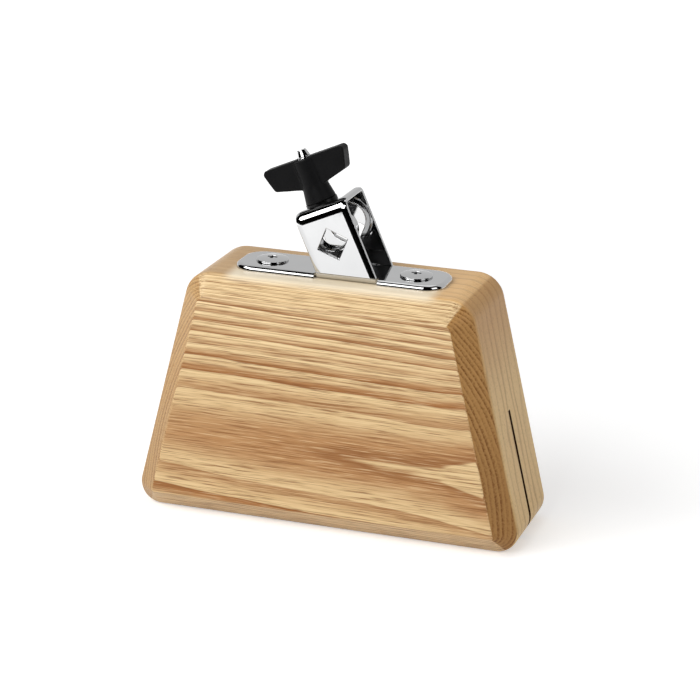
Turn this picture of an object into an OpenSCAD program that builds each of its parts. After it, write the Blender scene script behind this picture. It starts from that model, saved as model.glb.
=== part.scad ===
// Slotted wood block with a rod holder on top.
// Origin at the middle of the block's foot: X to the right, Y to the back, Z up. Millimetres.

/* [Block] */
// Width of the block at its foot
block_foot_w = 178; // [160:1:200]
// Width of the block at its top
block_top_w = 125; // [115:1:140]
// Height of the block
block_h = 109.5; // [95:0.5:130]
// Depth of the block, front to back
block_d = 58; // [50:1:75]
// Width of the bevel round the front face
front_bevel = 8.8; // [5:0.2:10]
// Corner radius of the front face at its top
face_top_r = 3.5; // [0.6:0.1:8]
// Corner radius of the front face at its foot
face_foot_r = 0.7; // [0.6:0.1:6]
// Radius of the round edge of the back face
back_round_r = 6; // [3:0.5:8]

/* [Slot] */
// Width of the sound slot
slot_w = 2.4; // [1.6:0.1:4]
// Height of the sound slot, from the foot
slot_h = 57; // [40:1:70]

/* [Holder] */
// Length of the holder's base plate
plate_l = 94; // [86:1:104]
// Width of the base plate
plate_w = 26; // [24:0.5:32]
// Corner radius of the base plate
plate_corner_r = 9; // [4:0.5:11]
// Thickness of the sheet
sheet_t = 2.3; // [1.5:0.1:3]
// Inside radius of the bend at the plate's front edge
bend_r = 1.2; // [0.8:0.1:2.5]
// Distance of a screw from the plate's end
screw_inset = 14.5; // [11:0.5:17]

/* [Clamp strap] */
// Lean of the strap to the left, in degrees
clamp_lean = 24; // [10:1:28]
// Width of the strap
clamp_w = 24.5; // [20:0.5:28]
// Height of the strap along its lean, from the block to its top
clamp_h = 34.4; // [32:0.1:42]
// Distance of the strap's foot from the middle of the plate
clamp_foot_x = 6; // [3:0.5:7]
// Inset of the strap's walls from the plate's long edges
wall_inset = 0.5; // [0.2:0.1:1.5]
// Inside radius of the bends at the strap's top
top_bend_r = 3; // [0.8:0.1:4]
// How much the stretched sheet of the foot bend is thinner and narrower, on each side
bend_thin = 0.1; // [0.05:0.05:0.3]
// Width of the relief notches beside the foot bend
notch_w = 0.8; // [0.6:0.1:2]
// Side of the square rod hole
rod_hole = 10.3; // [9.8:0.1:11]

/* [Eyebolt] */
// Bore of the eye
eye_bore = 14.4; // [13:0.1:15]
// Wall of the eye round its bore
eye_wall = 3.4; // [2.5:0.1:4.5]
// Thickness of the eye, front to back
eye_t = 7; // [5:0.5:10]
// How far the eye is drawn up past the rod hole's middle
eye_rise = 3.6; // [2:0.1:4]
// Distance of the stud to the left of the strap's middle
stud_offset = 1.9; // [0:0.1:2.5]
// Distance of the stud in front of the strap's middle
stud_front = 1.5; // [0:0.1:2.5]
// Diameter of the stud
stud_d = 5.9; // [5:0.1:6.5]
// Height of the stud's end above the wing nut
stud_proud = 3.5; // [3:0.1:6]
// Height of the taper at the stud's end
point_h = 2.9; // [0.5:0.1:3]
// How much the taper takes off the stud's radius
point_inset = 1; // [0.3:0.1:1.5]

/* [Wing nut] */
// Height of the wing nut's cone foot
cone_h = 7; // [5:0.1:9]
// Diameter of the cone foot where it bears
cone_d = 13.6; // [12.4:0.1:18]
// Height of the wings at the hub
wing_h = 12.6; // [11:0.1:16]
// Height of the wings at their tips
wing_tip_h = 10.3; // [7:0.1:10.5]
// Span of the wings across their upper corners
wing_span = 39.6; // [32:0.2:46]
// How much each wing narrows towards its lower corner
wing_draw = 2; // [0.5:0.1:3]
// Corner radius of the wings
wing_corner_r = 1.9; // [0.8:0.1:2.5]
// Thickness of the wings
wing_t = 6.2; // [4:0.1:7]
// Turn of the wing nut about the stud at rest, in degrees
wing_turn = -3; // [-90:1:90]
// Width across the flats of the threaded insert
insert_af = 8; // [7.6:0.1:9]
// Length of the threaded insert
insert_l = 14; // [12:0.5:15]
// How far the hub ends below the wings' upper edge
hub_drop = 0.6; // [0.3:0.1:2]
// Wall of the hub over the insert's corners
hub_wall = 1; // [0.8:0.1:2.5]

/* [Washer] */
// Diameter of the washer
washer_d = 14; // [13:0.1:19]
// Thickness of the washer
washer_t = 1; // [0.6:0.1:1.6]

/* [Screws] */
// Diameter of the screw heads
head_d = 14; // [11:0.1:15]
// Height of the screw heads
head_h = 1.5; // [1.3:0.1:4]
// Height of the straight rim of the heads
head_rim = 0.8; // [0.4:0.1:1.2]
// Diameter of the screws over the thread
screw_d = 4.8; // [4:0.1:5.5]
// Length of the screws under the head
screw_l = 25; // [18:1:35]
// Width of the cross recess
recess_w = 1.4; // [1:0.1:1.8]
// Length of the cross recess
recess_l = 4.4; // [3:0.1:4.6]
// Depth of the cross recess
recess_h = 1.1; // [0.8:0.1:1.7]

/* [Clearances] */
// Radial clearance of the stud in the insert
thread_fit = 0.05; // [0.02:0.01:0.1]
// Radial clearance of the stud in the strap, and of the screws in the plate
hole_clear = 0.6; // [0.3:0.1:1]
// Radial clearance of the screws in the wood
pilot_fit = 0.05; // [0.02:0.01:0.1]
// Gap between the eye and the strap's top
eye_gap = 0.4; // [0.3:0.1:0.6]
// Gap under the wing nut's foot
nut_gap = 0.1; // [0.05:0.05:0.2]

/* [Hidden] */
$fn = 64;
// Steps round a corner post of the block, round its back edge and round the wings' corners
post_fn = 48;
back_fn = 32;
wing_fn = 32;
// Overlap of a cutting tool past the face that it cuts
over = 1;
// Overlap of the bevel tool, less than the smallest corner radius of the front face
bevel_over = 0.5;

// Block outline: the flanks lean in, and each corner is an arc
flank = atan((block_foot_w - block_top_w) / 2 / block_h);
top_r = front_bevel + face_top_r;
foot_r = front_bevel + face_foot_r;
top_z = block_h - top_r;
top_x = block_foot_w / 2 - top_z * tan(flank) - top_r / cos(flank);
foot_x = block_foot_w / 2 - foot_r * tan(flank) - foot_r / cos(flank);

// Holder
plate_top = block_h + sheet_t;
bend_out = bend_r + sheet_t;
top_bend_out = top_bend_r + sheet_t;
clamp_d = plate_w - 2 * wall_inset;
clamp_front = -clamp_d / 2;
screw_x = plate_l / 2 - screw_inset;
// Where the strap's slanted sides meet the start of the foot bend
function foot_side(side) =
    clamp_foot_x + side * clamp_w / 2 / cos(clamp_lean) - bend_out * tan(clamp_lean);

// Heights along the leaning stud axis, from the block's top
eye_r = eye_bore / 2 + eye_wall;
eye_s = clamp_h - sheet_t - eye_gap - eye_r;
rod_s = eye_s - eye_rise;
washer_s = clamp_h;
nut_s = washer_s + washer_t + nut_gap;
wing_s = nut_s + cone_h;
nut_top_s = wing_s + wing_h;
stud_end_s = nut_top_s + stud_proud;
insert_r = insert_af / 2 / cos(30);
hub_r = insert_r + hub_wall;
hub_top = cone_h + wing_h - hub_drop;
// How far the wings' roots reach down into the cone foot
root_sink = 0.5;

// Section that takes the front bevel off; x points out of the block, y to its back
module bevel_section() {
    translate([0, -block_d / 2])
        polygon([
            [-front_bevel - bevel_over, -bevel_over],
            [bevel_over, front_bevel + bevel_over],
            [bevel_over, -bevel_over]
        ]);
}

// Section that rounds the back edge
module back_round_section() {
    translate([-back_round_r, block_d / 2 - back_round_r]) difference() {
        square(back_round_r + over);
        circle(back_round_r, $fn = back_fn);
    }
}

// Moves a piece to the left or right screw
module at_screw(side) {
    translate([side * screw_x, 0, plate_top]) children();
}

// Moves a piece to the strap's middle on the block's top, with z along the lean
module at_clamp() {
    translate([clamp_foot_x, 0, block_h]) rotate([0, -clamp_lean, 0]) children();
}

// Moves a piece to the stud's axis
module at_stud(s) {
    at_clamp() translate([-stud_offset, -stud_front, s]) children();
}

// Post turned about a corner's arc: bevelled at the front, rounded at the back
module corner_post(x, z, r) {
    translate([x, 0, z]) rotate([-90, 0, 0]) rotate_extrude($fn = post_fn) difference() {
        translate([0, -block_d / 2]) square([r, block_d]);
        translate([r, 0]) bevel_section();
        translate([r, 0]) back_round_section();
    }
}

// Block stretched over its four corner posts, before the slot and the screw holes
module block_body() {
    hull() for (side = [-1, 1]) {
        corner_post(side * top_x, top_z, top_r);
        corner_post(side * foot_x, foot_r, foot_r);
    }
}

// Solid ash block with the sound slot sawn up from its foot
module wood_block() {
    color("burlywood") difference() {
        block_body();
        translate([-block_foot_w / 2 - over, -slot_w / 2, -over])
            cube([block_foot_w + 2 * over, slot_w, slot_h + over]);
        for (side = [-1, 1])
            at_screw(side) translate([0, 0, -sheet_t - screw_l])
                cylinder(d = screw_d + 2 * pilot_fit, h = screw_l + over);
    }
}

// Bar with round corners, drawn about its middle
module round_bar(l, w, r) {
    square([l - 2 * r, w], center = true);
    square([l, w - 2 * r], center = true);
    for (x = [-1, 1], y = [-1, 1])
        translate([x * (l / 2 - r), y * (w / 2 - r)]) circle(r);
}

// Section of the strap across its bends: two walls and the top, from below the plate up
module strap_section() {
    below = clamp_w;
    difference() {
        union() {
            translate([-clamp_d / 2, -below]) square([clamp_d, below + clamp_h - top_bend_out]);
            translate([-clamp_d / 2 + top_bend_out, 0]) square([clamp_d - 2 * top_bend_out, clamp_h]);
            for (y = [-1, 1])
                translate([y * (clamp_d / 2 - top_bend_out), clamp_h - top_bend_out]) circle(top_bend_out);
        }
        translate([-clamp_d / 2 + sheet_t, -below - over])
            square([clamp_d - 2 * sheet_t, below + over + clamp_h - top_bend_out]);
        translate([-clamp_d / 2 + top_bend_out, 0])
            square([clamp_d - 2 * top_bend_out, clamp_h - sheet_t]);
        for (y = [-1, 1])
            translate([y * (clamp_d / 2 - top_bend_out), clamp_h - top_bend_out]) circle(top_bend_r);
    }
}

// Leaning strap, cut level with the block's top
module strap() {
    reach = clamp_w + clamp_h;
    difference() {
        at_clamp() translate([-clamp_w / 2, 0, 0]) rotate([90, 0, 90])
            linear_extrude(clamp_w) strap_section();
        translate([-reach, -plate_w, block_h - 2 * reach]) cube([2 * reach, plate_w, 2 * reach + bend_out]);
        translate([-reach, -over, block_h - 2 * reach]) cube([2 * reach, plate_w, 2 * reach + sheet_t]);
        at_clamp() translate([0, plate_w, rod_s]) rotate([90, 0, 0]) rotate([0, 0, 45])
            translate([-rod_hole / 2, -rod_hole / 2, 0]) cube([rod_hole, rod_hole, 2 * plate_w]);
        at_stud(clamp_h - sheet_t - over) cylinder(d = stud_d + 2 * hole_clear, h = sheet_t + 2 * over);
    }
}

// Bend that turns the plate's front edge up into the strap's front wall
module foot_bend() {
    length = foot_side(1) - foot_side(-1) - 2 * bend_thin;
    translate([foot_side(-1) + bend_thin, clamp_front + bend_out, block_h + bend_out]) rotate([90, 0, 90])
        linear_extrude(length) difference() {
            intersection() {
                circle(bend_out - bend_thin);
                translate([-bend_out, -bend_out]) square(bend_out);
            }
            circle(bend_r + bend_thin);
        }
}

// One stamping: base plate, foot bend, and the strap folded over to stand on the plate's rear edge
module holder_bracket() {
    color("silver") {
        difference() {
            translate([0, 0, block_h]) linear_extrude(sheet_t) round_bar(plate_l, plate_w, plate_corner_r);
            translate([foot_side(-1) - notch_w, -plate_w, block_h - over])
                cube([foot_side(1) - foot_side(-1) + 2 * notch_w,
                      plate_w + clamp_front + bend_out, sheet_t + 2 * over]);
            for (side = [-1, 1])
                at_screw(side) translate([0, 0, -sheet_t - over])
                    cylinder(d = screw_d + 2 * hole_clear, h = sheet_t + 2 * over);
        }
        foot_bend();
        strap();
    }
}

// Truss-head wood screw with a cross recess, its head seated at z = 0
module screw() {
    dome_r = ((head_d / 2) ^ 2 + (head_h - head_rim) ^ 2) / 2 / (head_h - head_rim);
    tip_h = screw_d;
    color("gainsboro") difference() {
        union() {
            cylinder(d = head_d, h = head_rim);
            intersection() {
                translate([0, 0, head_h - dome_r]) sphere(dome_r);
                translate([0, 0, head_rim]) cylinder(d = head_d, h = head_h);
            }
            translate([0, 0, tip_h - screw_l]) cylinder(d = screw_d, h = screw_l - tip_h);
            translate([0, 0, -screw_l]) cylinder(d1 = 0, d2 = screw_d, h = tip_h);
        }
        for (a = [0, 90])
            rotate([0, 0, a]) translate([-recess_l / 2, -recess_w / 2, head_h - recess_h])
                cube([recess_l, recess_w, recess_h + over]);
    }
}

module left_screw() {
    at_screw(-1) screw();
}

module right_screw() {
    at_screw(1) screw();
}

// Half section of the stud, from the middle of the eye to its tapered end
module stud_section() {
    stud_l = stud_end_s - eye_s;
    stud_r = stud_d / 2;
    polygon([[0, 0], [stud_r, 0], [stud_r, stud_l - point_h], [stud_r - point_inset, stud_l], [0, stud_l]]);
}

// Eye that draws the rod up into the corners of the rod holes, and its stud
module eyebolt() {
    color("silver") difference() {
        union() {
            at_stud(eye_s) rotate([90, 0, 0]) translate([0, 0, -eye_t / 2]) cylinder(r = eye_r, h = eye_t);
            at_stud(eye_s) rotate_extrude() stud_section();
        }
        at_stud(eye_s) rotate([90, 0, 0]) translate([0, 0, -eye_t]) cylinder(d = eye_bore, h = 2 * eye_t);
    }
}

// Outline of the two wings, drawn as width by height above the cone foot
module wing_outline() {
    r = wing_corner_r;
    tip = wing_span / 2 - r;
    low_tip = tip - wing_draw;
    rise = wing_h - wing_tip_h;
    hull() {
        for (side = [-1, 1]) {
            translate([side * tip, wing_h - r]) circle(r, $fn = wing_fn);
            translate([side * low_tip, rise + r]) circle(r, $fn = wing_fn);
        }
        translate([-insert_r, -root_sink]) square([2 * insert_r, wing_h + root_sink]);
    }
}

// Moulded grip: cone foot, hub and wings round the threaded insert
module wing_nut_grip() {
    color("#1b1b1d") difference() {
        union() {
            at_stud(nut_s) rotate_extrude()
                polygon([[0, 0], [cone_d / 2, 0], [hub_r, cone_h], [hub_r, hub_top], [0, hub_top]]);
            at_stud(wing_s) rotate([0, 0, wing_turn]) translate([0, wing_t / 2, 0]) rotate([90, 0, 0])
                linear_extrude(wing_t) wing_outline();
        }
        at_stud(nut_s - over) cylinder(r = insert_r, h = insert_l + over, $fn = 6);
        at_stud(nut_s) cylinder(d = stud_d + 2 * hole_clear, h = cone_h + wing_h + over);
    }
}

// Threaded insert that is moulded into the grip
module wing_nut_insert() {
    color("goldenrod") difference() {
        at_stud(nut_s) cylinder(r = insert_r, h = insert_l, $fn = 6);
        at_stud(nut_s - over) cylinder(d = stud_d + 2 * thread_fit, h = insert_l + 2 * over);
    }
}

// Loose washer under the wing nut
module wing_nut_washer() {
    color("#2a2a2c") difference() {
        at_stud(washer_s) cylinder(d = washer_d, h = washer_t);
        at_stud(washer_s - over) cylinder(d = stud_d + 2 * hole_clear, h = washer_t + 2 * over);
    }
}

wood_block();
holder_bracket();
left_screw();
right_screw();
eyebolt();
wing_nut_grip();
wing_nut_insert();
wing_nut_washer();
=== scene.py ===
"""Wood block with a rod holder: ash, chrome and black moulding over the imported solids."""
import math

import bmesh
import bpy
from mathutils import Matrix, Vector


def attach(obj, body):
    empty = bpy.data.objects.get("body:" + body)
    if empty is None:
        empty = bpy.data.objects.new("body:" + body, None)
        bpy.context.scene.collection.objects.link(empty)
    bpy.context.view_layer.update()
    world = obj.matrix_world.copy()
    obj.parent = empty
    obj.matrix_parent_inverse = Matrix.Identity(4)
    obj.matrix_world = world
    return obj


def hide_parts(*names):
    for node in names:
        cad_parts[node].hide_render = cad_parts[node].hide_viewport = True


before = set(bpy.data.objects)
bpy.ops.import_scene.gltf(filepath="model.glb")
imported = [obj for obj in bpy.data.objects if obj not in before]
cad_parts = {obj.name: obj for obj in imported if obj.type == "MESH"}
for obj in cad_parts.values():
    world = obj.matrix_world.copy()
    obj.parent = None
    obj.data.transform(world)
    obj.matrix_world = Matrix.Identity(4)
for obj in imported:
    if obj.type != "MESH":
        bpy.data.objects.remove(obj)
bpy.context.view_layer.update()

MM = 0.001
RIGHT = math.pi / 2

# Block, in millimetres as in the solids
FOOT_W, TOP_W, BLOCK_H, BLOCK_D = 178.0, 125.0, 109.5, 58.0
BEVEL, TOP_R, FOOT_R, BACK_R = 8.8, 12.3, 9.5, 6.0
SLOT_W, SLOT_H = 2.4, 57.0
FACE_SOFT, SIDE_SOFT = 1.5, 3.6
CORNER_STEPS, BACK_STEPS = 18, 10

# Holder: plate, foot bend, strap and screws
PLATE_L, PLATE_W, PLATE_R, SHEET_T = 94.0, 26.0, 9.0, 2.3
PLATE_SOFT = 1.9
STRAP_W, STRAP_D, STRAP_H, STRAP_FOOT_X = 24.5, 25.0, 34.4, 6.0
STRAP_INNER_SOFT, STRAP_OUTER_SOFT, STRAP_CUT_SOFT = 0.35, 0.3, 0.55
FOOT_BEND_R, TOP_BEND_R, REAR_BEND_R, NOTCH_W = 2.6, 5.3, 2.9, 0.8
FOOT_BEND_SOFT = 0.4
ROLL_W, ROLL_R = 2.7, 5.5
ROD_HOLE, ROD_S = 10.3, 17.5
SCREW_X, HEAD_R, HEAD_RIM, HEAD_H = 32.5, 7.0, 0.8, 1.5
HEAD_FOOT_SOFT, HEAD_RIM_SOFT = 0.2, 0.3
SCREW_R, SCREW_L = 2.4, 25.0
RECESS_W, RECESS_L, RECESS_H, RECESS_TAPER = 1.4, 4.4, 1.1, 0.8

# Stud axis and the pieces on it, measured along the axis from the block's top
LEAN = math.radians(24)
STUD_OFFSET, STUD_FRONT = 1.9, 1.5
EYE_S, EYE_BORE_R, EYE_R, EYE_T, EYE_SOFT = 21.1, 7.2, 10.6, 7.0, 1.1
STUD_R, STUD_ROOT_R, STUD_PITCH, STUD_END_S = 2.95, 2.45, 1.0, 58.6
POINT_H, POINT_INSET, POINT_SOFT = 2.9, 1.0, 0.5
NUT_S, CONE_H, CONE_R, HUB_R, HUB_TOP_R = 35.5, 7.0, 6.8, 5.62, 5.4
WING_H, WING_TIP_H, WING_SPAN, WING_DRAW, WING_T = 12.6, 10.3, 39.6, 2.0, 6.2
WING_CORNER_R, HUB_DROP, WING_TURN = 1.9, 0.6, math.radians(-3)
STUD_HOLE_R = 3.55

# How far cutters reach past the face or the piece that they cut
PAST_FACE, PAST_PIECE = 9.0, 99.0

# Height of the growth rings' axis, which the lines on the end faces bow about
CORE_Z = 37.0

# Camera of the photograph, and the point that the lights face
CAMERA_AT = (0.324506, -0.966598, 0.415244)
CAMERA_AIM = (0.003414, 0.0, 0.075177)
CAMERA_ROLL = math.radians(1.0393)
CAMERA_LENS, CAMERA_SENSOR, CAMERA_FAR = 127.876, 36.0, 100
LIGHT_AIM = (0, 0, 0.06)


# Mesh helpers

def new_object(name, data):
    """Puts a mesh, a light or a camera in the scene as an object of that name."""
    obj = bpy.data.objects.new(name, data)
    bpy.context.scene.collection.objects.link(obj)
    return obj


def mesh_from(name, points, faces):
    """Mesh from points in millimetres, with outward faces."""
    bm = bmesh.new()
    verts = [bm.verts.new(Vector(p) * MM) for p in points]
    for face in faces:
        bm.faces.new([verts[i] for i in face])
    bmesh.ops.recalc_face_normals(bm, faces=bm.faces)
    mesh = bpy.data.meshes.new(name)
    bm.to_mesh(mesh)
    bm.free()
    return mesh


def rings_mesh(name, rings, closed=False):
    """Mesh of rings with as many points each, joined in a loop or capped at both ends."""
    count = len(rings[0])
    points = [p for ring in rings for p in ring]
    faces = []
    if not closed:
        faces = [list(range(count)), list(range(len(points) - count, len(points)))]
    for row in range(len(rings) if closed else len(rings) - 1):
        here, there = row * count, (row + 1) % len(rings) * count
        for i in range(count):
            k = (i + 1) % count
            faces.append([here + i, here + k, there + k, there + i])
    return mesh_from(name, points, faces)


def box_mesh(name, low, high):
    """Box between two corners."""
    xs, ys, zs = zip(low, high)
    corners = [(xs[0], ys[0]), (xs[1], ys[0]), (xs[1], ys[1]), (xs[0], ys[1])]
    return rings_mesh(name, [[(x, y, z) for x, y in corners] for z in zs])


def arc(radius, steps, start=0.0, sweep=4 * RIGHT):
    """Points of an arc, without its end point when it is a full circle."""
    full_circle = sweep >= 4 * RIGHT - 1e-6
    last = steps if full_circle else steps - 1
    angles = [start + sweep * i / last for i in range(steps)]
    return [(radius * math.cos(a), radius * math.sin(a)) for a in angles]


def lathe_mesh(name, profile, steps=64):
    """Turned solid about z from (radius, height) points, capped at both ends."""
    return rings_mesh(name, [[(r * c, r * s, h) for c, s in arc(1, steps)] for r, h in profile])


def soft_corner(at, before, after, radius, steps=5):
    """Points that round a corner of a flat path, whose unit directions before and after it are given."""
    cosine = before[0] * after[0] + before[1] * after[1]
    turn = math.acos(max(-1.0, min(1.0, cosine)))
    reach = radius * math.tan(turn / 2)
    start = (at[0] - before[0] * reach, at[1] - before[1] * reach)
    side = 1 if before[0] * after[1] - before[1] * after[0] > 0 else -1
    centre = (start[0] - side * before[1] * radius, start[1] + side * before[0] * radius)
    dx, dy = start[0] - centre[0], start[1] - centre[1]
    points = []
    for i in range(steps):
        a = side * turn * i / (steps - 1)
        points.append((centre[0] + dx * math.cos(a) - dy * math.sin(a),
                       centre[1] + dx * math.sin(a) + dy * math.cos(a)))
    return points


def bake_modifiers(obj):
    """Turns an object's modifiers into its mesh."""
    graph = bpy.context.evaluated_depsgraph_get()
    mesh = bpy.data.meshes.new_from_object(obj.evaluated_get(graph), depsgraph=graph)
    obj.modifiers.clear()
    obj.data = mesh


def combine(obj, other, operation):
    """Joins or cuts obj with another object, which is then removed."""
    step = obj.modifiers.new("combine", "BOOLEAN")
    step.operation = operation
    step.solver = "EXACT"
    step.object = other
    bake_modifiers(obj)
    bpy.data.objects.remove(other)


def cut(obj, mesh, place=None):
    """Cuts a mesh, moved by a matrix, out of obj."""
    tool = new_object("tool", mesh)
    if place is not None:
        tool.matrix_world = place
    combine(obj, tool, "DIFFERENCE")


def soften(obj, width, angle, segments=3):
    """Rounds the edges above an angle in degrees by a width in millimetres."""
    edge = obj.modifiers.new("soft edges", "BEVEL")
    edge.width = width * MM
    edge.segments = segments
    edge.limit_method = "ANGLE"
    edge.angle_limit = math.radians(angle)


def weight_normals(obj, keep_sharp=False):
    """Lets large faces keep their own normal."""
    weighted = obj.modifiers.new("weighted normals", "WEIGHTED_NORMAL")
    weighted.keep_sharp = keep_sharp
    weighted.weight = 100


def smooth(obj, angle):
    """Smooth shading with sharp edges above an angle in degrees."""
    obj.data.shade_smooth()
    obj.data.set_sharp_from_angle(angle=math.radians(angle))
    weight_normals(obj, keep_sharp=True)


def joined(name, parts):
    """One object of several, which are then removed."""
    bm = bmesh.new()
    for part in parts:
        bake_modifiers(part)
        part.data.transform(part.matrix_world)
        bm.from_mesh(part.data)
        bpy.data.objects.remove(part)
    mesh = bpy.data.meshes.new(name)
    bm.to_mesh(mesh)
    bm.free()
    return new_object(name, mesh)


def leaning(offset, front):
    """Matrix of a frame on the block's top with z along the lean, offset to the left and to the front."""
    across = Vector((math.cos(LEAN), 0, math.sin(LEAN)))
    along = Vector((-math.sin(LEAN), 0, math.cos(LEAN)))
    base = Vector((STRAP_FOOT_X, -front, BLOCK_H)) - offset * across
    turn = Matrix((across, Vector((0, 1, 0)), along)).transposed().to_4x4()
    return Matrix.Translation(base * MM) @ turn


# Pieces

def block_outline(inset):
    """Front outline of the block at an inset, as (x, z) points."""
    flank = math.atan((FOOT_W - TOP_W) / 2 / BLOCK_H)
    top_z = BLOCK_H - TOP_R
    top_x = FOOT_W / 2 - top_z * math.tan(flank) - TOP_R / math.cos(flank)
    foot_x = FOOT_W / 2 - FOOT_R * math.tan(flank) - FOOT_R / math.cos(flank)
    corners = [
        (top_x, top_z, TOP_R, flank, RIGHT),
        (-top_x, top_z, TOP_R, RIGHT, 2 * RIGHT - flank),
        (-foot_x, FOOT_R, FOOT_R, 2 * RIGHT - flank, 3 * RIGHT),
        (foot_x, FOOT_R, FOOT_R, 3 * RIGHT, 4 * RIGHT + flank),
    ]
    points = []
    for x, z, r, start, end in corners:
        points += [(x + dx, z + dz) for dx, dz in arc(r - inset, CORNER_STEPS, start, end - start)]
    return points


def build_block():
    """Ash block: bevelled front, rounded back, softened edges and the sawn slot."""
    half = BLOCK_D / 2
    slant = math.sqrt(0.5)
    path = soft_corner((BEVEL, -half), (-1, 0), (-slant, slant), FACE_SOFT)
    path += soft_corner((0, -half + BEVEL), (-slant, slant), (0, 1), SIDE_SOFT)
    path += soft_corner((0, half), (0, 1), (1, 0), BACK_R, BACK_STEPS)
    rings = [[(x, y, z) for x, z in block_outline(inset)] for inset, y in path]
    block = new_object("block_body", rings_mesh("block_body", rings))
    cut(block, box_mesh("slot", (-FOOT_W, -SLOT_W / 2, -SLOT_H), (FOOT_W, SLOT_W / 2, SLOT_H)))
    smooth(block, angle=40)
    return block


def bar_outline(length, width, radius):
    """Outline of a bar with round corners, as (x, y) points."""
    steps = 12
    x, y = length / 2 - radius, width / 2 - radius
    points = []
    for i, (cx, cy) in enumerate(((x, y), (-x, y), (-x, -y), (x, -y))):
        points += [(cx + dx, cy + dy) for dx, dy in arc(radius, steps, i * RIGHT, RIGHT)]
    return points


def foot_sides():
    """Left and right end of the bend at the strap's foot."""
    middle = STRAP_FOOT_X - FOOT_BEND_R * math.tan(LEAN)
    half = STRAP_W / 2 / math.cos(LEAN)
    return middle - half, middle + half


def build_plate():
    """Base plate with a rounded upper edge, notched at the front for the strap's foot."""
    profile = [(0, 0)] + soft_corner((0, SHEET_T), (0, 1), (1, 0), PLATE_SOFT)
    rings = []
    for inset, h in profile:
        outline = bar_outline(PLATE_L - 2 * inset, PLATE_W - 2 * inset, PLATE_R - inset)
        rings.append([(x, y, BLOCK_H + h) for x, y in outline])
    plate = new_object("plate", rings_mesh("plate", rings))
    left, right = foot_sides()
    notch_low = (left - NOTCH_W, -PLATE_W, BLOCK_H - PAST_FACE)
    notch_high = (right + NOTCH_W, FOOT_BEND_R - STRAP_D / 2, BLOCK_H + PAST_FACE)
    cut(plate, box_mesh("notch", notch_low, notch_high))
    return plate


def build_foot_bend():
    """Quarter bend from the plate up to the strap's front wall, with soft ends."""
    steps = 12
    left, right = foot_sides()
    soft = FOOT_BEND_SOFT
    y, z = -STRAP_D / 2 + FOOT_BEND_R, BLOCK_H + FOOT_BEND_R
    rings = []
    for x, inset in ((left, soft), (left + soft, 0), (right - soft, 0), (right, soft)):
        outer = arc(FOOT_BEND_R - inset, steps, 2 * RIGHT, RIGHT)
        inner = arc(FOOT_BEND_R - SHEET_T + inset, steps, 2 * RIGHT, RIGHT)
        rings.append([(x, y + dy, z + dz) for dy, dz in outer + inner[::-1]])
    return new_object("foot_bend", rings_mesh("foot_bend", rings))


def strap_profile():
    """Section across the strap, as (x, depth) points: the outer face rolls off to its long edges."""
    half = STRAP_W / 2
    steps = 8
    drop = ROLL_W ** 2 / 2 / ROLL_R
    tilt = math.atan(ROLL_W / ROLL_R)
    left = soft_corner((-half, SHEET_T), (-1, 0), (0, -1), STRAP_INNER_SOFT)
    left += soft_corner((-half, drop), (0, -1), (math.cos(tilt), -math.sin(tilt)), STRAP_OUTER_SOFT)
    for i in range(1, steps + 1):
        d = ROLL_W * (1 - i / steps)
        left.append((-half + ROLL_W - d, d * d / 2 / ROLL_R))
    return left + [(-x, depth) for x, depth in left[::-1]]


def strap_path():
    """Fold of the strap from the front wall to the back wall, as places and inward directions."""
    steps = 14
    half = STRAP_D / 2
    low = -STRAP_W
    path = [(-half, low, 1, 0)]
    for side, radius, start in ((-1, TOP_BEND_R, 2 * RIGHT), (1, REAR_BEND_R, RIGHT)):
        for c, s in arc(1, steps, start, -RIGHT):
            path.append((side * (half - radius) + radius * c, STRAP_H - radius + radius * s, -c, -s))
    return path + [(half, low, -1, 0)]


def build_strap():
    """Strap folded over from the front wall to the back wall, with its square holes and the stud's hole."""
    profile = strap_profile()
    rings = []
    for y, s, dy, ds in strap_path():
        rings.append([(x, y + depth * dy, s + depth * ds) for x, depth in profile])
    strap = new_object("strap", rings_mesh("strap", rings))
    strap.matrix_world = leaning(0, 0)

    far, overlap = PAST_PIECE, 1.0
    below = BLOCK_H - far
    cut(strap, box_mesh("front_foot", (-far, -far, below), (far, 0, BLOCK_H + FOOT_BEND_R)))
    cut(strap, box_mesh("back_foot", (-far, -overlap, below), (far, far, BLOCK_H + SHEET_T)))

    reach = ROD_HOLE / math.sqrt(2)
    diamond = [(reach, 0), (0, reach), (-reach, 0), (0, -reach)]
    hole = [[(x, y, ROD_S + s) for x, s in diamond] for y in (-far, far)]
    cut(strap, rings_mesh("rod_hole", hole), leaning(0, 0))
    stud_hole = [(STUD_HOLE_R, STRAP_H - PAST_FACE), (STUD_HOLE_R, STRAP_H + PAST_FACE)]
    cut(strap, lathe_mesh("stud_hole", stud_hole), leaning(STUD_OFFSET, STUD_FRONT))
    soften(strap, STRAP_CUT_SOFT, angle=50, segments=4)
    return strap


def build_holder():
    """Chromed stamping: plate, foot bend and strap."""
    holder = joined("holder_body", [build_plate(), build_foot_bend(), build_strap()])
    smooth(holder, angle=45)
    return holder


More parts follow.
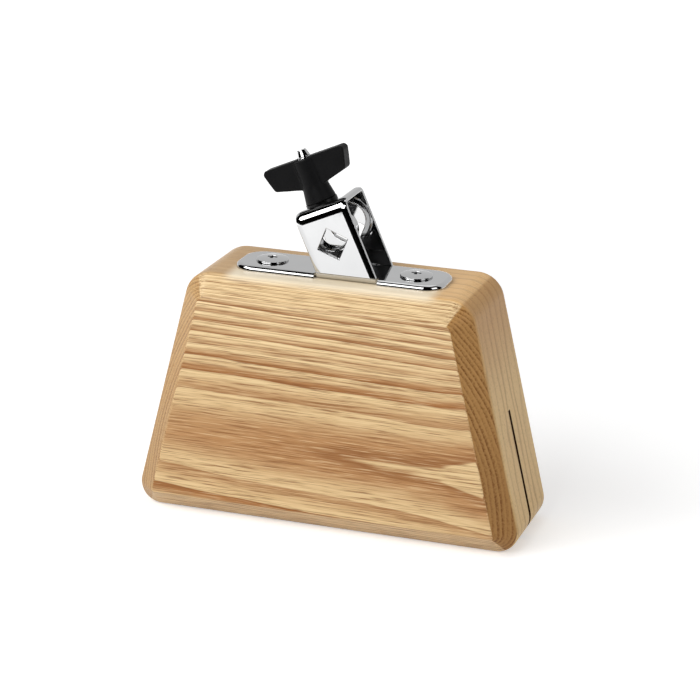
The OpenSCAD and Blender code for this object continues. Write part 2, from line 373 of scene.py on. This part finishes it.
def screw_profile():
    """Half section of a truss-head screw, as (radius, height above the plate) points."""
    tip, neck, steps = 0.01, 0.2, 12
    dome = HEAD_H - HEAD_RIM
    dome_r = (HEAD_R ** 2 + dome ** 2) / 2 / dome
    slope = math.asin(HEAD_R / dome_r)
    rim_way = (-math.cos(slope), math.sin(slope))
    profile = [(tip, -SCREW_L), (SCREW_R, 2 * SCREW_R - SCREW_L), (SCREW_R, -neck), (SCREW_R + neck, 0)]
    profile += soft_corner((HEAD_R, 0), (1, 0), (0, 1), HEAD_FOOT_SOFT, steps=3)
    profile += soft_corner((HEAD_R, HEAD_RIM), (0, 1), rim_way, HEAD_RIM_SOFT)
    for i in range(1, steps):
        a = slope * (1 - i / steps)
        profile.append((dome_r * math.sin(a), HEAD_H - dome_r * (1 - math.cos(a))))
    return profile + [(tip, HEAD_H)]


def recess_mesh(along_x):
    """One of the two crossing slots of a screw's recess, narrower at its bottom."""
    rings = []
    for size, h in ((RECESS_TAPER, HEAD_H - RECESS_H), (1, HEAD_H), (1, HEAD_H + PAST_FACE)):
        x, y = RECESS_L / 2 * size, RECESS_W / 2 * size
        x, y = (x, y) if along_x else (y, x)
        rings.append([(-x, -y, h), (x, -y, h), (x, y, h), (-x, y, h)])
    return rings_mesh("recess", rings)


def build_screw(name, side):
    """Truss-head screw: rim, dome, shank and cross recess."""
    screw = new_object(name, lathe_mesh(name, screw_profile()))
    for along_x in (True, False):
        cut(screw, recess_mesh(along_x))
    screw.matrix_world = Matrix.Translation(Vector((side * SCREW_X, 0, BLOCK_H + SHEET_T)) * MM)
    smooth(screw, angle=40)
    return screw


def stud_mesh():
    """Stud with a rolled thread and a tapered end."""
    steps, rows_per_turn = 48, 10
    plain_l, sunk_l, groove_slope = 1.0, 1.5, 1.9
    thread_s = EYE_S + EYE_R + plain_l
    taper_s = STUD_END_S - POINT_H
    rows = int((taper_s - thread_s) / STUD_PITCH * rows_per_turn)
    heights = [EYE_S + EYE_BORE_R + sunk_l]
    heights += [thread_s + (taper_s - thread_s) * i / rows for i in range(rows + 1)]
    rings = []
    for s in heights:
        fade = max(0.0, min(1.0, (s - thread_s) / STUD_PITCH, (taper_s - s) / STUD_PITCH))
        ring = []
        for i, (c, d) in enumerate(arc(1, steps)):
            phase = (s / STUD_PITCH - i / steps) % 1
            groove = 1 - min(1.0, groove_slope * abs(2 * phase - 1))
            r = STUD_R - (STUD_R - STUD_ROOT_R) * groove * fade
            ring.append((r * c, r * d, s))
        rings.append(ring)
    tilt = math.atan(POINT_INSET / POINT_H)
    end, taper_way = (STUD_R - POINT_INSET, STUD_END_S), (-math.sin(tilt), math.cos(tilt))
    for r, s in soft_corner(end, taper_way, (-1, 0), POINT_SOFT):
        rings.append([(x, y, s) for x, y in arc(r, steps)])
    return rings_mesh("stud", rings)


def build_eyebolt():
    """Eyebolt: a ring with rounded edges, and the threaded stud."""
    corner_steps, ring_steps = 6, 96
    outer, inner, half = EYE_R - EYE_SOFT, EYE_BORE_R + EYE_SOFT, EYE_T / 2 - EYE_SOFT
    section = []
    for i, (r, y) in enumerate(((outer, half), (inner, half), (inner, -half), (outer, -half))):
        section += [(r + dr, y + dy) for dr, dy in arc(EYE_SOFT, corner_steps, i * RIGHT, RIGHT)]
    rings = [[(r * c, y, EYE_S + r * s) for r, y in section] for c, s in arc(1, ring_steps)]
    bolt = new_object("eyebolt_body", rings_mesh("eyebolt_body", rings, closed=True))
    combine(bolt, new_object("stud", stud_mesh()), "UNION")
    bolt.matrix_world = leaning(STUD_OFFSET, STUD_FRONT)
    smooth(bolt, angle=50)
    return bolt


def wing_outline():
    """Outline of the two wings, as (x, height above the cone foot) points."""
    steps = 8
    root_x, root_h = HUB_R - 1.0, -0.5
    r = WING_CORNER_R
    tip, rise = WING_SPAN / 2 - r, WING_H - WING_TIP_H
    low_tip = tip - WING_DRAW
    lean = math.atan(WING_DRAW / (WING_TIP_H - 2 * r))
    lift = math.atan((rise + r) / (low_tip - HUB_R))
    lower = arc(r, steps, 3 * RIGHT + lift, RIGHT - lift - lean)
    upper = arc(r, steps, -lean, RIGHT + lean)
    side = [(low_tip + dx, rise + r + dh) for dx, dh in lower]
    side += [(tip + dx, WING_H - r + dh) for dx, dh in upper]
    return [(-root_x, root_h), (root_x, root_h)] + side + [(-x, h) for x, h in side[::-1]]


def melt_edges(obj):
    """Gives an object an even mesh and runs its edges and inner corners soft."""
    remesh = obj.modifiers.new("even mesh", "REMESH")
    remesh.mode = "VOXEL"
    remesh.voxel_size = 0.3 * MM
    melt = obj.modifiers.new("melted edges", "SMOOTH")
    melt.factor = 0.5
    melt.iterations = 8
    bake_modifiers(obj)


def build_wing_nut():
    """Moulded wing nut grip: cone foot, hub and wings run together with soft fillets."""
    hole_low, hole_high = -9.0, 30.0
    top = CONE_H + WING_H - HUB_DROP
    hub = [(CONE_R, 0), (HUB_R, CONE_H), (HUB_TOP_R, top)]
    nut = new_object("wing_nut_body", lathe_mesh("wing_nut_body", hub))
    rings = [[(x, y, CONE_H + h) for x, h in wing_outline()] for y in (-WING_T / 2, WING_T / 2)]
    wings = new_object("wings", rings_mesh("wings", rings))
    wings.matrix_world = Matrix.Rotation(WING_TURN, 4, "Z")
    combine(nut, wings, "UNION")
    melt_edges(nut)
    cut(nut, lathe_mesh("stud_hole", [(STUD_HOLE_R, hole_low), (STUD_HOLE_R, hole_high)]))
    nut.matrix_world = leaning(STUD_OFFSET, STUD_FRONT) @ Matrix.Translation((0, 0, NUT_S * MM))
    smooth(nut, angle=50)
    return nut


def soften_node(node, width):
    """Rounds the sharp edges of a carried-over solid."""
    flat_angle, edge_angle = 0.5, 35
    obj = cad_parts[node]
    flat = obj.modifiers.new("merged flat faces", "DECIMATE")
    flat.decimate_type = "DISSOLVE"
    flat.angle_limit = math.radians(flat_angle)
    soften(obj, width, edge_angle)
    weight_normals(obj)


# Materials

class Tree:
    """Short way to write a node tree."""

    def __init__(self, tree):
        self.tree = tree

    def add(self, kind, inputs=None, **settings):
        """New node with its settings, and its inputs as values or sockets."""
        node = self.tree.nodes.new(kind)
        for key, value in settings.items():
            setattr(node, key, value)
        for key, value in (inputs or {}).items():
            self.put(node.inputs[key], value)
        return node

    def put(self, socket, value):
        """Sets a socket to a value, or links another socket to it."""
        if isinstance(value, bpy.types.NodeSocket):
            self.tree.links.new(value, socket)
        else:
            socket.default_value = value

    def math(self, operation, a, b=0.0):
        return self.add("ShaderNodeMath", {0: a, 1: b}, operation=operation).outputs[0]

    def plus(self, a, b):
        return self.math("ADD", a, b)

    def minus(self, a, b):
        return self.math("SUBTRACT", a, b)

    def times(self, product, *others):
        """Product of two or more values."""
        for value in others:
            product = self.math("MULTIPLY", product, value)
        return product

    def over(self, a, b):
        """1 where a is more than b, and 0 elsewhere."""
        return self.math("GREATER_THAN", a, b)

    def under(self, a, b):
        """1 where a is less than b, and 0 elsewhere."""
        return self.math("LESS_THAN", a, b)

    def distance(self, a, b):
        """Length of a vector with two parts."""
        return self.math("SQRT", self.plus(self.times(a, a), self.times(b, b)))

    def scaled(self, at, x, y, z):
        return self.add("ShaderNodeVectorMath", {0: at, 1: (x, y, z)}, operation="MULTIPLY").outputs[0]

    def split(self, vector):
        return self.add("ShaderNodeSeparateXYZ", {0: vector}).outputs

    def noise(self, at, scale, detail=2.0, roughness=0.5):
        inputs = {"Vector": at, "Scale": scale, "Detail": detail, "Roughness": roughness}
        return self.add("ShaderNodeTexNoise", inputs).outputs[0]

    def centred(self, noise):
        """Noise about 0 instead of about a half."""
        return self.minus(noise, 0.5)

    def tone_of(self, count):
        """Random tone, 0 to 1, for each whole number that a count passes."""
        whole = self.math("FLOOR", count)
        return self.add("ShaderNodeTexWhiteNoise", {"W": whole}, noise_dimensions="1D").outputs[0]

    def remap(self, value, low, high, to_low=0.0, to_high=1.0, kind="SMOOTHSTEP"):
        """Soft step from to_low at low to to_high at high."""
        inputs = {"Value": value, "From Min": low, "From Max": high, "To Min": to_low, "To Max": to_high}
        return self.add("ShaderNodeMapRange", inputs, interpolation_type=kind).outputs[0]

    def ramp(self, value, low, high, to_low, to_high):
        """Straight ramp from to_low at low to to_high at high."""
        return self.remap(value, low, high, to_low, to_high, "LINEAR")

    def band(self, phase, full, fading, gone):
        """Soft band at the start of each phase: it rises until full, and falls from fading until gone."""
        return self.times(self.remap(phase, 0.0, full), self.remap(phase, gone, fading))

    def mix(self, factor, a, b):
        node = self.add("ShaderNodeMix", data_type="RGBA")
        for index, value in ((0, factor), (6, a), (7, b)):
            self.put(node.inputs[index], value)
        return node.outputs[2]

    def seen_rays(self):
        """1 for camera, glossy and transmission rays, and 0 for the rest."""
        path = self.add("ShaderNodeLightPath").outputs
        seen = self.math("MAXIMUM", path["Is Camera Ray"], path["Is Glossy Ray"])
        return self.math("MAXIMUM", seen, path["Is Transmission Ray"])


class Finish(Tree):
    """Material with a principled shader, painted in the object's own coordinates."""

    def __init__(self, name):
        self.material = bpy.data.materials.new(name)
        self.material.use_nodes = True
        super().__init__(self.material.node_tree)
        self.shader = self.tree.nodes["Principled BSDF"]
        place = self.add("ShaderNodeTexCoord").outputs["Object"]
        self.mm = self.scaled(place, 1 / MM, 1 / MM, 1 / MM)

    def grain(self, stretch, scale, detail, roughness):
        """Noise drawn out along x, more so for a smaller stretch value."""
        return self.noise(self.scaled(self.mm, stretch, 1, 1), scale, detail, roughness)

    def set(self, **values):
        """Sets the shader's sockets, written with underscores for spaces."""
        for key, value in values.items():
            self.put(self.shader.inputs[key.replace("_", " ")], value)

    def bump(self, height, strength, distance):
        """Bump from a height, with its distance in millimetres."""
        inputs = {"Height": height, "Strength": strength, "Distance": distance * MM}
        self.set(Normal=self.add("ShaderNodeBump", inputs).outputs[0])


def srgb(r, g, b):
    """Screen colour, 0 to 255, as a linear colour."""
    def linear(c):
        c /= 255
        return c / 12.92 if c <= 0.04045 else ((c + 0.055) / 1.055) ** 2.4
    return (linear(r), linear(g), linear(b), 1.0)


# Colours of the wood: front, end grain, top, painted light in front of the plate and painted shade in the
# slot
LATE_LOW, LATE_HIGH = srgb(228, 197, 146), srgb(248, 221, 171)
EARLY, THIN_LINE, RING_LINE = srgb(168, 108, 53), srgb(152, 98, 46), srgb(140, 86, 40)
FIBRE, DARK_HAIR, LIGHT_HAIR = srgb(162, 112, 62), srgb(134, 84, 40), srgb(244, 216, 168)
BEVEL_WOOD, BEVEL_RING, BEVEL_LOW = srgb(184, 138, 82), srgb(122, 78, 36), srgb(108, 64, 26)
END_WOOD, END_LINE, END_HIGH = srgb(228, 193, 136), srgb(166, 122, 74), srgb(182, 126, 68)
PORE = srgb(118, 78, 40)
TOP_LEFT, TOP_RIGHT, TOP_LINE = srgb(186, 146, 96), srgb(234, 184, 116), srgb(160, 114, 68)
# Painted light on the strip in front of the plate, and painted shade on the slot's walls
PAINTED_STRIP_LIGHT, SLOT_SHADE = srgb(255, 244, 218), srgb(56, 28, 6)

# Colours of the metals, the moulding and the stage
CHROME_DARK, CHROME_LIGHT = (0.57, 0.572, 0.575, 1), (0.61, 0.612, 0.615, 1)
# Painted shade on chrome, for the screws' recesses and the strap's inner faces
CHROME_SHADE = (0.09, 0.09, 0.092, 1)
STEEL_DARK, STEEL_LIGHT = (0.01, 0.01, 0.01, 1), (0.03, 0.03, 0.03, 1)
BRASS_DARK, BRASS_LIGHT = (0.42, 0.28, 0.1, 1), (0.6, 0.42, 0.17, 1)
PLASTIC_DARK, PLASTIC_LIGHT = (0.004, 0.004, 0.0042, 1), (0.009, 0.009, 0.0095, 1)
FLOOR_PALE, FLAG_DARK, WHITE = (0.86, 0.86, 0.86, 1), (0.004, 0.004, 0.004, 1), (1, 1, 1, 1)


def growth_rings(t):
    """Growth rings about an axis along x in front of the block: phase, each ring's tone, and thin lines."""
    # Width of a ring, distance from the axis to the front face, and the phase that the face starts with
    spacing, reach, first_phase = 1.6, 137.0, 0.012
    # Fall of the axis along x, and the turns lost for each millimetre along x, left and right of core_x
    fall, core_x, loss_left, loss_right = 0.05, 54.0, 0.0032, 0.012
    slow_sway, quick_sway, thin_lines = 1.3, 0.5, 2.6
    slow = t.centred(t.grain(stretch=0.35, scale=0.022, detail=1.5, roughness=0.4))
    quick = t.centred(t.grain(stretch=0.12, scale=0.12, detail=2.0, roughness=0.5))
    x, y, z = t.split(t.mm)
    dy = t.plus(y, BLOCK_D / 2 + reach)
    dz = t.plus(t.minus(z, CORE_Z), t.times(x, fall))
    radius = t.plus(t.distance(dy, dz), t.times(slow, slow_sway))
    radius = t.plus(radius, t.times(quick, quick_sway))
    turns = t.math("DIVIDE", t.minus(radius, reach - first_phase * spacing), spacing)
    aside = t.minus(x, core_x)
    turns = t.minus(turns, t.times(t.math("MINIMUM", aside, 0.0), loss_left))
    turns = t.minus(turns, t.times(t.math("MAXIMUM", aside, 0.0), loss_right))
    fine = t.math("FRACT", t.times(turns, thin_lines))
    thin = t.band(fine, full=0.12, fading=0.12, gone=0.55)
    return t.math("FRACT", turns), t.tone_of(turns), thin


def end_stripes(t):
    """Upright dark lines on the end faces and lengthways lines on the top."""
    pitch, bow, sway, faintest = 6.6, 1100.0, 11.0, 0.3
    # Far enough in front of the block to keep the count above 0
    count_from = 200.0
    _, y, z = t.split(t.mm)
    dz = t.minus(z, CORE_Z)
    wander = t.centred(t.noise(t.scaled(t.mm, 0.1, 1, 0.25), scale=0.09, detail=2.0, roughness=0.6))
    place = t.minus(y, t.math("DIVIDE", t.times(dz, dz), bow))
    place = t.plus(place, t.times(wander, sway))
    count = t.math("DIVIDE", t.plus(place, count_from), pitch)
    stripe = t.band(t.math("FRACT", count), full=0.1, fading=0.08, gone=0.5)
    return t.times(stripe, t.ramp(t.tone_of(count), 0.0, 1.0, faintest, 1.0))


def painted_light_strip(t):
    """1 on the strip of wood in front of the plate where light is painted, fading at its ends and down the
    bevel.
    """
    down, back = 3.0, 0.5
    past_end, before_end = 2, 5
    x, y, z = t.split(t.mm)
    edge = BEVEL - BLOCK_D / 2
    across = t.times(t.remap(y, edge - down, edge + back), t.under(y, 0.0))
    along = t.remap(t.math("ABSOLUTE", x), PLATE_L / 2 + past_end, PLATE_L / 2 - before_end)
    return t.times(across, along, t.over(z, BLOCK_H - BEVEL))


def slot_walls(t):
    """1 on the sawn walls of the slot, and 0 elsewhere."""
    margin = 0.05
    _, y, z = t.split(t.mm)
    inside = t.under(t.math("ABSOLUTE", y), SLOT_W / 2 + margin)
    return t.times(inside, t.under(z, SLOT_H + margin))


def wood_sides(t):
    """Masks from a face's direction: end grain, the sides with no front in them, and the bevels."""
    off_front, off_top, no_front = (0.38, 0.6), (0.42, 0.54), (0.62, 0.3)
    to_left, to_front, left_share = (-0.25, -0.45), (-0.3, -0.5), 0.6
    least = 0.01
    x, y, z = t.split(t.add("ShaderNodeNewGeometry").outputs["Normal"])
    side = t.distance(x, z)
    bevel = t.remap(side, *off_front)
    along = t.math("DIVIDE", t.math("ABSOLUTE", x), t.math("MAXIMUM", side, least))
    left_bevel = t.times(t.remap(x, *to_left), t.remap(y, *to_front))
    end = t.times(t.remap(along, *off_top), bevel, t.ramp(left_bevel, 0.0, 1.0, 1.0, left_share))
    plain_side = t.remap(t.math("ABSOLUTE", y), *no_front)
    return end, plain_side, bevel


def grown_colour(t, early, line, thin, bevel, fibre, hair):
    """Colour along the grain: pale late wood, brown early wood, ring lines, fibres and fine hairs."""
    late_heights, early_heights, thin_heights = (55, 108), (65, 95), (45, 85)
    bevel_early, high_early, low_thin, high_thin, line_share = 0.45, 0.8, 0.12, 0.5, 0.7
    fibre_range, dark_range, light_range = (0.5, 0.68), (0.48, 0.7), (0.48, 0.28)
    fibre_share, dark_share, light_share = 0.35, 0.8, 0.5
    height = t.split(t.mm)[2]
    # Lighter towards the top: partly the wood's own tone and partly painted light; the early wood also
    # fades towards the top.
    late = t.mix(t.remap(height, *late_heights), LATE_LOW, LATE_HIGH)
    faded = t.remap(bevel, 0.0, 1.0, 1.0, bevel_early)
    faded = t.times(faded, t.remap(height, *early_heights, 1.0, high_early))
    colour = t.mix(t.times(early, faded), late, EARLY)
    thin = t.times(thin, t.remap(height, *thin_heights, low_thin, high_thin))
    colour = t.mix(thin, colour, THIN_LINE)
    colour = t.mix(t.times(line, line_share), colour, RING_LINE)
    colour = t.mix(t.remap(fibre, *fibre_range, to_high=fibre_share), colour, FIBRE)
    colour = t.mix(t.remap(hair, *dark_range, to_high=dark_share), colour, DARK_HAIR)
    return t.mix(t.remap(hair, *light_range, to_high=light_share), colour, LIGHT_HAIR)


def top_colour(t, stripes):
    """Colour of the top, browner to the left, with lengthways lines."""
    left, right, line_share = -40, 60, 0.6
    across = t.split(t.mm)[0]
    base = t.mix(t.remap(across, left, right), TOP_LEFT, TOP_RIGHT)
    return t.mix(t.times(stripes, line_share), base, TOP_LINE)


def end_colour(t, early, stripes, plain_side):
    """Colour across the grain: broken rings on the bevels, lines on the end faces, and pores on both."""
    low_heights, high_heights = (75, 25), (60, 102)
    low_share, high_share, line_share, pore_share = 0.2, 0.6, 0.8, 0.3
    gap_range, gap_least, pore_range = (0.35, 0.6), 0.35, (0.5, 0.74)
    height = t.split(t.mm)[2]
    dots = t.noise(t.mm, scale=1.1, detail=2.0, roughness=0.6)
    broken = t.times(early, t.remap(dots, *gap_range, to_low=gap_least))
    rings = t.mix(broken, BEVEL_WOOD, BEVEL_RING)
    rings = t.mix(t.remap(height, *low_heights, to_high=low_share), rings, BEVEL_LOW)
    lines = t.mix(t.times(stripes, line_share), END_WOOD, END_LINE)
    lines = t.mix(t.remap(height, *high_heights, to_high=high_share), lines, END_HIGH)
    colour = t.mix(plain_side, rings, lines)
    return t.mix(t.remap(dots, *pore_range, to_high=pore_share), colour, PORE)


def ash_wood():
    """Lacquered ash: growth rings with a brown flame, fibres, darker end grain, painted shade in the slot
    and painted light on the strip in front of the plate.
    """
    ring_start, ring_fade, feather, faintest = (0.0, 0.05), (0.8, 0.16), 0.8, 0.45
    top_share, painted_light_share, lacquer, end_lacquer = 0.7, 0.75, 0.3, 0.1
    t = Finish("ash_wood")
    phase, tone, thin = growth_rings(t)
    fibre = t.grain(stretch=0.022, scale=0.85, detail=4.0, roughness=0.7)
    hair = t.grain(stretch=0.026, scale=2.4, detail=2.0, roughness=0.6)
    streak = t.plus(t.times(fibre, 0.5), t.times(hair, 0.5))
    feathered = t.plus(phase, t.times(t.centred(streak), feather))
    strength = t.ramp(tone, 0.0, 1.0, faintest, 1.0)
    early = t.times(t.remap(phase, *ring_start), t.remap(feathered, *ring_fade), strength)
    line = t.times(t.band(phase, full=0.05, fading=0.05, gone=0.2), strength)
    end, plain_side, bevel = wood_sides(t)
    stripes = end_stripes(t)
    slot = slot_walls(t)

    colour = grown_colour(t, early, line, thin, bevel, fibre, hair)
    colour = t.mix(t.times(plain_side, top_share), colour, top_colour(t, stripes))
    # Painted light: the wood in front of the plate is made pale, as if brightly lit.
    colour = t.mix(t.times(painted_light_strip(t), painted_light_share), colour, PAINTED_STRIP_LIGHT)
    colour = t.mix(end, colour, end_colour(t, early, stripes, plain_side))
    # Painted shade: the slot's walls are made nearly black.
    colour = t.mix(slot, colour, SLOT_SHADE)

    coat = t.times(t.remap(slot, 0.0, 1.0, lacquer, 0.0), t.remap(end, 0.0, 1.0, 1.0, end_lacquer))
    rough = t.ramp(fibre, 0.2, 0.8, to_low=0.4, to_high=0.5)
    t.set(Base_Color=colour, Roughness=rough, Specular_IOR_Level=0.15, Coat_Weight=coat, Coat_Roughness=0.2)
    t.bump(streak, strength=0.12, distance=0.3)
    return t.material


def uneven(t, noise, middle, share):
    """Roughness that strays from a middle value by a share of it."""
    noise_range = (0.3, 0.7)
    return t.ramp(noise, *noise_range, (1 - share) * middle, (1 + share) * middle)


def chrome(name, roughness, shade_mask=None):
    """Bright chrome with faint polishing marks, with painted shade where a mask is 1: dark and rougher
    there.
    """
    shade_roughness = 0.25
    t = Finish(name)
    marks = t.noise(t.scaled(t.mm, 1, 2.6, 1), scale=0.6, detail=3.0, roughness=0.6)
    cloud = t.noise(t.mm, scale=0.09)
    colour = t.mix(cloud, CHROME_DARK, CHROME_LIGHT)
    rough = uneven(t, marks, roughness, share=0.3)
    # Painted shade: the chrome turns dark and rougher where the mask is 1.
    if shade_mask:
        mask = shade_mask(t)
        colour = t.mix(mask, colour, CHROME_SHADE)
        rough = t.plus(rough, t.times(mask, shade_roughness))
    t.set(Base_Color=colour, Metallic=1.0, Roughness=rough)
    t.bump(cloud, strength=0.02, distance=0.2)
    return t.material


def screw_recess_shade(t):
    """1 in a screw head's cross recess, where shade is painted, and 0 elsewhere."""
    rim = 0.2
    x, y, z = t.split(t.mm)
    near = t.under(t.distance(x, y), RECESS_L / 2 + rim)
    return t.times(near, t.under(z, HEAD_H - rim))


def strap_inside_shade(t):
    """1 on the inner faces of the strap's front half, where shade is painted, and 0 elsewhere."""
    margin = 0.1
    x, y, z = t.split(t.mm)
    depth = STRAP_D / 2 - SHEET_T + margin
    between = t.times(t.over(y, -depth), t.under(y, 0.0))
    above = t.over(z, BLOCK_H + SHEET_T + margin)
    across = t.times(t.minus(x, STRAP_FOOT_X), math.sin(LEAN))
    along = t.minus(t.times(t.minus(z, BLOCK_H), math.cos(LEAN)), across)
    below = t.under(along, STRAP_H - SHEET_T + margin)
    return t.times(between, above, below)


def black_plastic():
    """Satin black moulding with a fine grain."""
    t = Finish("black_plastic")
    cloud = t.noise(t.mm, scale=0.16, detail=3.0, roughness=0.6)
    grain = t.noise(t.mm, scale=2.6, detail=2.0, roughness=0.6)
    rough = t.ramp(cloud, 0.25, 0.75, to_low=0.36, to_high=0.5)
    t.set(Base_Color=t.mix(cloud, PLASTIC_DARK, PLASTIC_LIGHT), Roughness=rough, Specular_IOR_Level=0.08)
    t.bump(grain, strength=0.08, distance=0.1)
    return t.material


def plain_metal(name, dark, light, roughness):
    """Turned or plated metal with a cloudy tone."""
    t = Finish(name)
    cloud = t.noise(t.mm, scale=0.4, detail=3.0, roughness=0.6)
    rough = uneven(t, cloud, roughness, share=0.2)
    t.set(Base_Color=t.mix(cloud, dark, light), Metallic=1.0, Roughness=rough)
    t.bump(cloud, strength=0.05, distance=0.1)
    return t.material


def paint(obj, material):
    """Gives an object one material."""
    obj.data.materials.clear()
    obj.data.materials.append(material)


def paint_node(node, material):
    """Gives a carried-over solid one material, on its object's own slots."""
    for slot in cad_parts[node].material_slots:
        slot.link = "OBJECT"
        slot.material = material


# Stage

def rectangle(name, low, high):
    """Flat rectangle between two corners in millimetres, which agree on one axis."""
    a, b = [axis for axis in range(3) if low[axis] != high[axis]]
    corners = []
    for p, q in ((low, low), (high, low), (high, high), (low, high)):
        corner = list(low)
        corner[a] = p[a]
        corner[b] = q[b]
        corners.append(corner)
    return new_object(name, mesh_from(name, corners, [[0, 1, 2, 3]]))


def build_floor():
    """Pale floor that catches the shadow, topped up to white where the camera or metal sees it."""
    half = 4000
    near, far, near_lift = 250, 1100, 0.4
    floor = rectangle("floor", (-half, -half, 0), (half, half, 0))
    t = Finish("floor")
    x, y, _ = t.split(t.mm)
    lift = t.remap(t.distance(x, y), near, far, to_low=near_lift)
    t.set(Base_Color=FLOOR_PALE, Roughness=0.9, Specular_IOR_Level=0.0,
          Emission_Color=WHITE, Emission_Strength=t.times(t.seen_rays(), lift))
    paint(floor, t.material)


def build_world():
    """White surroundings for the camera and for reflections, and a softer fill for the rest."""
    fill_level, mirrored_level = 0.3, 0.68
    world = bpy.data.worlds.new("studio")
    bpy.context.scene.world = world
    world.use_nodes = True
    t = Tree(world.node_tree)
    t.tree.nodes.clear()
    glossy = t.add("ShaderNodeLightPath").outputs["Is Glossy Ray"]
    white_level = t.ramp(glossy, 0.0, 1.0, 1.0, mirrored_level)
    fill = t.add("ShaderNodeBackground", {"Color": WHITE, "Strength": fill_level}).outputs[0]
    white = t.add("ShaderNodeBackground", {"Color": WHITE, "Strength": white_level}).outputs[0]
    both = t.add("ShaderNodeMixShader", {0: t.seen_rays(), 1: fill, 2: white}).outputs[0]
    t.add("ShaderNodeOutputWorld", {"Surface": both})


def facing(at, aim):
    """Turn of a light or a camera at one point that faces another."""
    return (Vector(aim) - Vector(at)).to_track_quat("-Z", "Y")


def area_light(name, at, size, power):
    """Square soft light aimed at the object, with its size in metres and its power in watts."""
    data = bpy.data.lights.new(name, "AREA")
    data.shape = "SQUARE"
    data.size = size
    data.energy = power
    light = new_object(name, data)
    light.location = at
    light.rotation_euler = facing(at, LIGHT_AIM).to_euler()


def build_lights():
    """Key and front light at the left front, a weaker fill at the right and a light overhead."""
    area_light("key", (-1.0, -0.75, 1.1), size=0.8, power=11.5)
    area_light("front", (-0.25, -0.95, 0.75), size=0.6, power=4.4)
    area_light("fill", (1.2, -0.5, 0.8), size=0.7, power=3.0)
    area_light("top", (0.0, 0.3, 1.5), size=0.9, power=2.5)


def flag(name, low, high):
    """Dark card that only reflections see, between two corners in millimetres."""
    card = rectangle(name, low, high)
    t = Finish(name)
    t.set(Base_Color=FLAG_DARK, Roughness=1.0, Specular_IOR_Level=0.0)
    paint(card, t.material)
    card.visible_camera = False
    card.visible_diffuse = False
    card.visible_shadow = False
    card.visible_transmission = False


def build_flags():
    """Dark room round the front half of the table, which gives the chrome its dark lines."""
    side, front, back, top = 2500, -2500, 900, 3000
    table_edge, above_floor = -500, 2
    flag("flag_table_edge", (-side, front, above_floor), (side, table_edge, above_floor))
    flag("flag_front", (-side, front, 0), (side, front, top))
    flag("flag_left", (-side, front, 0), (-side, back, top))
    flag("flag_right", (side, front, 0), (side, back, top))
    flag("flag_ceiling", (-side, front, top), (side, back, top))


def build_camera():
    """Camera of the photograph."""
    data = bpy.data.cameras.new("camera")
    data.sensor_width = CAMERA_SENSOR
    data.lens = CAMERA_LENS
    data.clip_end = CAMERA_FAR
    camera = new_object("camera", data)
    look = facing(CAMERA_AT, CAMERA_AIM).to_matrix().to_4x4()
    camera.matrix_world = Matrix.Translation(CAMERA_AT) @ look @ Matrix.Rotation(CAMERA_ROLL, 4, "Z")
    bpy.context.scene.camera = camera


def dress(piece, body, node, material):
    """A new piece takes a solid's place: it rides on the body and has the slot's finish."""
    paint(piece, material)
    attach(piece, body)
    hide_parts(node)


def main():
    """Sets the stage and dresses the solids."""
    bpy.context.scene.view_settings.view_transform = "Standard"
    build_camera()
    build_world()
    build_floor()
    build_lights()
    build_flags()

    dress(build_block(), "block", "wood_block", ash_wood())
    # The strap's inner faces get painted shade.
    dress(build_holder(), "block", "holder_bracket",
          chrome("chrome_plate", roughness=0.05, shade_mask=strap_inside_shade))
    # The screws' cross recesses get painted shade.
    screw_chrome = chrome("screw_chrome", roughness=0.06, shade_mask=screw_recess_shade)
    dress(build_screw("left_screw_body", -1), "block", "left_screw", screw_chrome)
    dress(build_screw("right_screw_body", 1), "block", "right_screw", screw_chrome)
    dress(build_eyebolt(), "eyebolt", "eyebolt",
          chrome("eyebolt_chrome", roughness=0.08))
    dress(build_wing_nut(), "wing_nut", "wing_nut_grip", black_plastic())

    soften_node("wing_nut_washer", width=0.2)
    paint_node("wing_nut_washer", plain_metal("black_steel", STEEL_DARK, STEEL_LIGHT, roughness=0.35))
    paint_node("wing_nut_insert", plain_metal("insert_brass", BRASS_DARK, BRASS_LIGHT, roughness=0.3))


main()
